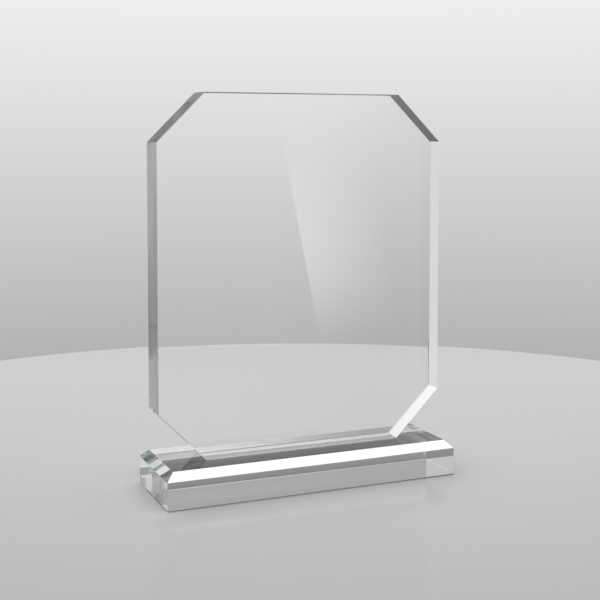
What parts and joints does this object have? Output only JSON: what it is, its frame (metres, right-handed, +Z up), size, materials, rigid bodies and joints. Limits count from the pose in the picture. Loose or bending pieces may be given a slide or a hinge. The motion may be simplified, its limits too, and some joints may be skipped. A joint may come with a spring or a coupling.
{
  "type": "crystal award",
  "caption": "Free-standing clear crystal award: an upright plate with clipped corners, for engraving, bonded on edge to a bevelled base block.",
  "frame": {"origin": "centre of the base block's underside, on the surface that the award stands on", "axes": "+Z up, +X to the right along the award's width, -Y out of the plate's front face"},
  "size_m": [0.178, 0.057, 0.2271],
  "materials": {
    "crystal_plate": "polished clear crystal, very faint green-grey tint",
    "crystal_base": "polished clear crystal, very faint green-grey tint",
    "clear_adhesive": "cured water-clear UV adhesive"
  },
  "bodies": {
    "root": {"base_block": "crystal_base", "adhesive_bond": "clear_adhesive", "award_plate": "crystal_plate"}
  },
  "joints": []
}
